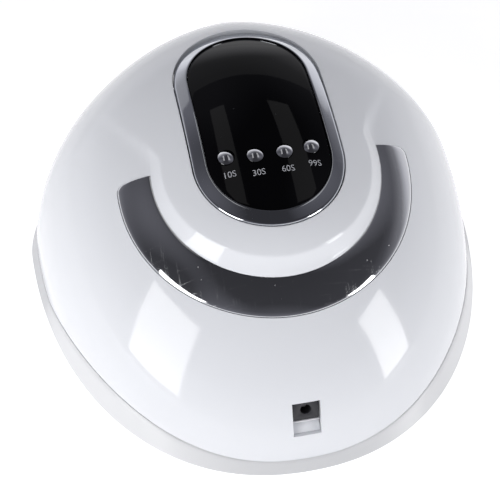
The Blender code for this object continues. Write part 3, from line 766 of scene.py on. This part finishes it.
def build_tray():
    across, along = plan_columns()
    lip = seam_height(across, along) - SEAM_GAP
    flat = 0.0 * lip
    wall = TRAY_WALL / HALF_WIDTH

    def ring(height, scale, share=1.0):
        row = on_dome(across, along, flat + height, scale) + np.array([0.0, TRAY_REARWARD, 0.0])
        middle = np.array([0.0, CENTRE_Y, height])
        return middle + (row - middle) * share

    rows = [ring(TRAY_BOTTOM, TRAY_FLARE - 0.011, share) for share in (0.0, 0.3, 0.6, 0.8, 0.9, 1.0)]
    rows += [ring(TRAY_BOTTOM + 0.15, TRAY_FLARE - 0.006), ring(TRAY_BOTTOM + 0.5, TRAY_FLARE - 0.002),
             ring(TRAY_BOTTOM + TRAY_TURN_UP, TRAY_FLARE)]
    base = rows[-1]
    top = on_dome(across, along, lip - 0.3, TRAY_LIP)
    rows += [base + (top - base) * share for share in (0.25, 0.5, 0.75, 1.0)]
    rows.append(on_dome(across, along, lip, TRAY_LIP - 0.003))
    rows.append(on_dome(across, along, lip, TRAY_LIP - wall + 0.004))
    rows.append(on_dome(across, along, lip - 0.9, TRAY_LIP - wall))
    floor = TRAY_BOTTOM + TRAY_WALL
    rows += [ring(floor + 1.0, TRAY_FLARE - wall - 0.004), ring(floor + 0.3, TRAY_FLARE - wall - 0.008)]
    rows += [ring(floor, TRAY_FLARE - wall - 0.014, share) for share in (1.0, 0.9, 0.8, 0.6, 0.3, 0.0)]
    tray = lay_grid("tray_shell", np.array(rows))
    fill_ends(tray)
    shade(tray, 32)
    return dress(tray, TRAY_MILK, "tray", "tray_white", "base_tray")


def build_liner():
    across, along = plan_columns(240)
    flat = 0.0 * across
    top = LINER_HEIGHT + LINER_WALL
    rows = [on_dome(across, along, flat + FLANGE_BOTTOM, FLANGE_SCALE),
            on_dome(across, along, flat + FLANGE_BOTTOM + LINER_WALL, FLANGE_SCALE),
            on_dome(across, along, flat + FLANGE_BOTTOM + LINER_WALL, LINER_SCALE + 0.022, top)]
    turns = np.linspace(math.asin(0.16), 0.5 * math.pi, 27)
    rows += [on_dome(across, along, flat + top * math.sin(turn), LINER_SCALE + 0.015, top) for turn in turns]
    rows += [on_dome(across, along, flat + LINER_HEIGHT * math.sin(turn), LINER_SCALE, LINER_HEIGHT)
             for turn in reversed(turns)]
    rows += [on_dome(across, along, flat + FLANGE_BOTTOM, LINER_SCALE, LINER_HEIGHT), rows[0]]
    liner = lay_grid("liner_shell", np.array(rows))
    fill_ends(liner)
    cut(liner, mouth_cutter(MOUTH_HALF_WIDTH - 4.0, MOUTH_HEIGHT - 3.0))
    for x in SENSOR_SIDES:
        cut(liner, drum("sensor_cutter", SENSOR_HOLE, 30.0, (x * MM, SENSOR_Y * MM, LINER_HEIGHT * MM)))
    edit(liner, merge_and_turn_out)
    shade(liner, 30)
    return dress(liner, LINER_GLOSS, "lamp", "liner_white", "reflector_liner")


def build_mouth_lining():
    """Arched wall that closes the space between casing and liner round the mouth."""
    across, along = plan_columns(240)
    outer_top, inner_top = DOME_HEIGHT - CASE_WALL - 0.4, LINER_HEIGHT + 2.0
    turns = np.linspace(math.asin(0.07), 0.5 * math.pi * 0.985, 24)
    flat = 0.0 * across
    rows = [on_dome(across, along, flat + outer_top * math.sin(turn), 0.972, outer_top) for turn in turns]
    rows += [on_dome(across, along, flat + inner_top * math.sin(turn) + 1.0, LINER_SCALE + 0.02,
                     inner_top + 1.0) for turn in reversed(turns)]
    rows.append(rows[0])
    lining = lay_grid("mouth_lining", np.array(rows))
    fill_ends(lining)
    cut(lining, mouth_cutter(MOUTH_HALF_WIDTH - 0.2, MOUTH_HEIGHT - 0.2), keep_inside=True)
    cut(lining, mouth_cutter(MOUTH_HALF_WIDTH - 3.6, MOUTH_HEIGHT - 2.6))
    edit(lining, merge_and_turn_out)
    shade(lining, 30)
    dress(lining, LINER_GLOSS, "lamp", "liner_white")


def liner_spot(degrees, height, turn=0.0):
    """Point of the liner's inner surface at a plan angle and a height."""
    across, along = plan_direction(np.array([math.radians(degrees)]) + turn)
    return on_dome(across, along, np.array([height]), LINER_SCALE, LINER_HEIGHT)[0]


def build_leds():
    """Round lens beads seated in the liner, facing the hand."""
    for level, (height, places) in enumerate(LED_ROWS):
        for count, degrees in enumerate(places):
            bead = turned(f"led_bead_{level}_{count}", BEAD_PROFILE, 24)
            fill_ends(bead)
            spot = liner_spot(degrees, height)
            beside = liner_spot(degrees, height, 0.01) - spot
            above = liner_spot(degrees, height + 0.5) - spot
            inward = Vector(np.cross(above, beside)).normalized()
            if inward.dot(Vector((0.0, CENTRE_Y, 20.0)) - Vector(spot)) < 0:
                inward.negate()
            turn = inward.to_track_quat("Z", "Y").to_matrix()
            move(bead, (Vector(spot) - inward * BEAD_SUNK) * MM, turn)
            edit(bead, merge_and_turn_out)
            shade(bead, 35)
            dress(bead, LED_LENS, "lamp", "liner_white")


# ================================================================ control panel
def panel_grid(name, profile, columns):
    """A grid round the panel: rows of (distance from the middle line, height over the crown)."""
    share = np.linspace(0.0, 1.0, columns, endpoint=False)
    rows = []
    for radius, height in profile:
        x, y = stadium(share, radius)
        rows.append(np.stack([x, y, crown_height(x, y) + height], axis=-1))
    return lay_grid(name, np.array(rows))


def build_panel_ring():
    profile = [(RING_INNER, -1.5), (RING_INNER, 0.35), (RING_INNER + 0.12, 0.62), (RING_INNER + 0.4, 0.76)]
    profile += [(RING_INNER + 0.4 + 5.3 * step / 8.0, 0.76 - 0.5 * (step / 8.0) ** 1.15)
                for step in range(1, 9)]
    profile += [(RING_OUTER - 0.25, 0.12), (RING_OUTER - 0.06, -0.12), (RING_OUTER, -0.4),
                (RING_OUTER, -1.5)]
    ring = panel_grid("panel_ring_trim", profile + profile[:1], 480)
    shade(ring, 35)
    dress(ring, RING_CHROME, "lamp", "chrome", "bezel_ring")


def build_panel_glass():
    profile = [(LENS_RADIUS, -3.0), (LENS_RADIUS, -0.5), (LENS_RADIUS - 0.15, -0.3)]
    profile += [(radius, -LENS_BELOW) for radius in np.linspace(LENS_RADIUS - 0.6, 0.0, 26)]
    lens = panel_grid("panel_glass", profile, 360)
    fill_ends(lens)
    for x, y in BUTTONS.values():
        cut(lens, drum("key_cutter", BUTTON_RADIUS + BUTTON_CLEARANCE, 30.0,
                       (x * MM, y * MM, CUTTER_LEVEL * MM)))
    edit(lens, merge_and_turn_out)
    shade(lens, 35)
    dress(lens, PANEL_BLACK, "lamp", "black_gloss", "panel_lens")


def build_buttons():
    profile = [(1.6, -6.0), (1.6, -4.6), (BUTTON_RADIUS, -4.5), (BUTTON_RADIUS, -0.6)]
    profile += [(BUTTON_RADIUS * share, 0.88 - 1.15 * share ** 2) for share in np.linspace(0.99, 0.02, 14)]
    for label, (x, y) in BUTTONS.items():
        key = turned("key_cap_" + label, profile, 64)
        fill_ends(key)
        face = float(crown_height(np.float64(x), np.float64(y)))
        move(key, (x * MM, y * MM, face * MM))
        edit(key, merge_and_turn_out)
        shade(key, 40)
        dress(key, KEY_CHROME, "key_" + label, "chrome", "button_" + label)


def lay_on_crown(piece, lift):
    """Drop a flat piece onto the curved panel."""
    for vert in piece.data.vertices:
        x, y = vert.co.x / MM, vert.co.y / MM
        vert.co.z = (float(crown_height(x, y)) - LENS_BELOW + lift) * MM + vert.co.z
    piece.data.update()


def build_labels():
    for label, (x, y) in BUTTONS.items():
        bpy.ops.object.text_add(location=(0.0, 0.0, 0.0))
        words = bpy.context.object
        words.data.body = label.upper()
        words.data.size = LABEL_HEIGHT * LABEL_SIZE * MM
        words.data.align_x = "CENTER"
        words.data.resolution_u = 4
        words.data.extrude = 0.02 * MM
        words.data.offset = -0.03 * MM
        words.name = "label_" + label
        pick(words)
        bpy.ops.object.convert(target="MESH")
        print_piece = bpy.context.object
        behind = y + LABEL_BEHIND + LABEL_HEIGHT
        move(print_piece, (x * MM, behind * MM, 0.0), Matrix.Rotation(math.pi, 3, "Z"))
        lay_on_crown(print_piece, 0.035)
        edit(print_piece, merge_and_turn_out)
        dress(print_piece, LABEL_WHITE, "lamp", "black_gloss")


# ================================================================ power inlet and feet
def build_inlet():
    turn = Matrix.Rotation(math.radians(90.0 - INLET_SLOPE), 3, "X")
    out = Matrix.Rotation(-math.radians(INLET_SLOPE), 3, "X")
    holder = block("inlet_pocket", (18.0, 1.6, 22.0), inlet_place(0, 0, -4.9), turn)
    cut(holder, block("pocket_cutter", (9.6, 6.0, 9.6), inlet_place(0, 3.6, -4.2), turn))
    soften(holder, 0.2)
    shade(holder)
    # The pocket gets the darker grey with the painted shade of the recess
    dress(holder, INLET_PAINTED_SHADE, "lamp", "white_gloss", "inlet_holder")
    plate = block("inlet_face", (INLET_WIDTH - 0.8, 1.0, 10.0), inlet_place(0, 3.4, -2.1), turn)
    cut(plate, drum("plate_cutter", 2.5, 6.0, inlet_place(0, 4.0, -2.1), out))
    soften(plate, 0.15)
    shade(plate)
    dress(plate, SOCKET_DARK, "lamp", "dark_plastic", "inlet_plate")
    ledge = block("inlet_ledge", (INLET_WIDTH - 0.5, 1.4, 0.7), inlet_place(0, -2.15, -1.9), turn)
    soften(ledge, 0.15)
    shade(ledge)
    # The ledge gets the same darker grey with the painted shade of the recess
    dress(ledge, INLET_PAINTED_SHADE, "lamp", "white_gloss")
    ramp_turn = turn @ Matrix.Rotation(math.radians(24.0), 3, "X")
    ramp = block("inlet_ramp", (INLET_WIDTH - 0.3, 0.8, 5.4), inlet_place(0, -5.9, -2.3), ramp_turn)
    soften(ramp, 0.15)
    shade(ramp)
    dress(ramp, CASE_WHITE, "lamp", "white_gloss")


def build_feet():
    for place in FOOT_PLACES:
        low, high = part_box("foot_" + place)
        radius = 0.5 * (high.x - low.x) / MM
        tall = (high.z - low.z) / MM
        profile = [(0.1, tall), (radius, tall), (radius, 0.35), (radius - 0.12, 0.1), (radius - 0.4, 0.0),
                   (radius - 1.6, 0.0), (radius - 1.8, 0.25), (radius - 3.4, 0.25), (radius - 3.6, 0.0),
                   (0.1, 0.0)]
        pad = turned("foot_pad_" + place, profile, 56)
        fill_ends(pad)
        move(pad, (0.5 * (low.x + high.x), 0.5 * (low.y + high.y), low.z))
        edit(pad, merge_and_turn_out)
        shade(pad, 35)
        dress(pad, FOOT_RUBBER, "tray", "grey_rubber", "foot_" + place)


build_casing()
build_chrome_arc()
build_tray()
build_liner()
build_mouth_lining()
build_leds()
build_panel_ring()
build_panel_glass()
build_buttons()
build_labels()
build_inlet()
build_feet()

# CAD nodes that keep their own shape get a finish by the record's material slot
for entry in frame["record"].get("materials", []):
    for member in entry.get("nodes", []):
        node = frame["nodes"].get(member)
        if node is not None and not node.hide_render:
            node.data.materials.clear()
            node.data.materials.append(SLOT_FINISH[entry["slot"]])

# ================================================================ studio
def add_area(name, width, height, power, place):
    """A rectangular light at a place given as a matrix."""
    light = bpy.data.lights.new(name, "AREA")
    light.shape = "RECTANGLE"
    light.size = width
    light.size_y = height
    light.energy = power
    lamp = bpy.data.objects.new(name, light)
    bpy.context.scene.collection.objects.link(lamp)
    lamp.matrix_world = place
    return lamp


def add_strip(name, azimuth, elevation, width, height, power):
    """A light at the side of the lamp, turned towards it."""
    turn, rise = math.radians(azimuth), math.radians(elevation)
    toward = Vector((math.sin(turn) * math.cos(rise), math.cos(turn) * math.cos(rise), math.sin(rise)))
    centre = toward * STRIP_DISTANCE + Vector((0.0, 0.0, 0.04))
    add_area(name, width, height, power, placed(centre, toward.to_track_quat("Z", "Y").to_matrix()))


def build_floor():
    bpy.ops.mesh.primitive_plane_add(size=FLOOR_SIZE)
    floor = bpy.context.object
    floor.name = "studio_floor"
    paper = bpy.data.materials.new("floor_paper")
    paper.use_nodes = True
    shader = paper.node_tree.nodes["Principled BSDF"]
    shader.inputs["Base Color"].default_value = (0.95, 0.95, 0.96, 1.0)
    shader.inputs["Roughness"].default_value = 0.9
    shader.inputs["Emission Color"].default_value = (1.0, 1.0, 1.0, 1.0)
    shader.inputs["Emission Strength"].default_value = FLOOR_GLOW
    floor.data.materials.append(paper)


def build_lights():
    for name, strip in STRIPS.items():
        add_strip(name, *strip)
    for name, (across, width, power) in CEILING_STRIPS.items():
        add_area(name, width, CEILING_LENGTH, power, placed((across, *CEILING_PLACE)))
    panel = add_area("overhead_panel", OVERHEAD_SIZE, OVERHEAD_SIZE, OVERHEAD_POWER, placed((0.0, 0.1, 0.95)))
    panel.data.color = (0.975, 0.975, 1.0)
    panel.visible_glossy = False


def build_sky():
    """A sky that darkens upwards, with soft uneven patches overhead."""
    world = bpy.data.worlds.new("studio_sky")
    bpy.context.scene.world = world
    world.use_nodes = True
    nodes, links = world.node_tree.nodes, world.node_tree.links
    split = nodes.new("ShaderNodeSeparateXYZ")
    links.new(nodes.new("ShaderNodeTexCoord").outputs["Generated"], split.inputs["Vector"])
    ramp = nodes.new("ShaderNodeValToRGB")
    links.new(split.outputs["Z"], ramp.inputs["Fac"])
    while len(ramp.color_ramp.elements) < len(SKY_STOPS):
        ramp.color_ramp.elements.new(0.5)
    for element, (spot, colour) in zip(ramp.color_ramp.elements, SKY_STOPS):
        element.position = spot
        element.color = (*colour, 1.0)
    cloud = add_noise(nodes, links, nodes.new("ShaderNodeTexCoord").outputs["Generated"], 1.5, 0.0)
    uneven = map_range(nodes, links, cloud.outputs["Fac"], 0.36, 0.64, 0.5, 1.5)
    softened = nodes.new("ShaderNodeMix")
    softened.data_type = "RGBA"
    softened.blend_type = "MULTIPLY"
    links.new(map_range(nodes, links, split.outputs["Z"], 0.4, 0.6), softened.inputs["Factor"])
    links.new(ramp.outputs["Color"], softened.inputs["A"])
    links.new(uneven, softened.inputs["B"])
    links.new(softened.outputs["Result"], nodes["Background"].inputs["Color"])
    nodes["Background"].inputs["Strength"].default_value = SKY_STRENGTH


def build_camera():
    rise, turn, roll = math.radians(CAMERA_ELEVATION), math.radians(CAMERA_AZIMUTH), math.radians(CAMERA_ROLL)
    back = Vector((math.sin(turn) * math.cos(rise), -math.cos(turn) * math.cos(rise), math.sin(rise)))
    right = Vector((math.cos(turn), math.sin(turn), 0.0))
    up = back.cross(right)
    tilted_right = right * math.cos(roll) + up * math.sin(roll)
    tilted_up = up * math.cos(roll) - right * math.sin(roll)
    lens = bpy.data.cameras.new("studio_camera")
    lens.lens = CAMERA_LENS
    lens.sensor_width = 36.0
    lens.dof.use_dof = False
    camera = bpy.data.objects.new("studio_camera", lens)
    bpy.context.scene.collection.objects.link(camera)
    facing = Matrix((tilted_right, tilted_up, back)).transposed()
    camera.matrix_world = placed((Vector(CAMERA_AIM) + back * CAMERA_DISTANCE) * MM, facing)
    bpy.context.scene.camera = camera


build_floor()
build_lights()
build_sky()
build_camera()
bpy.context.scene.view_settings.view_transform = "Standard"
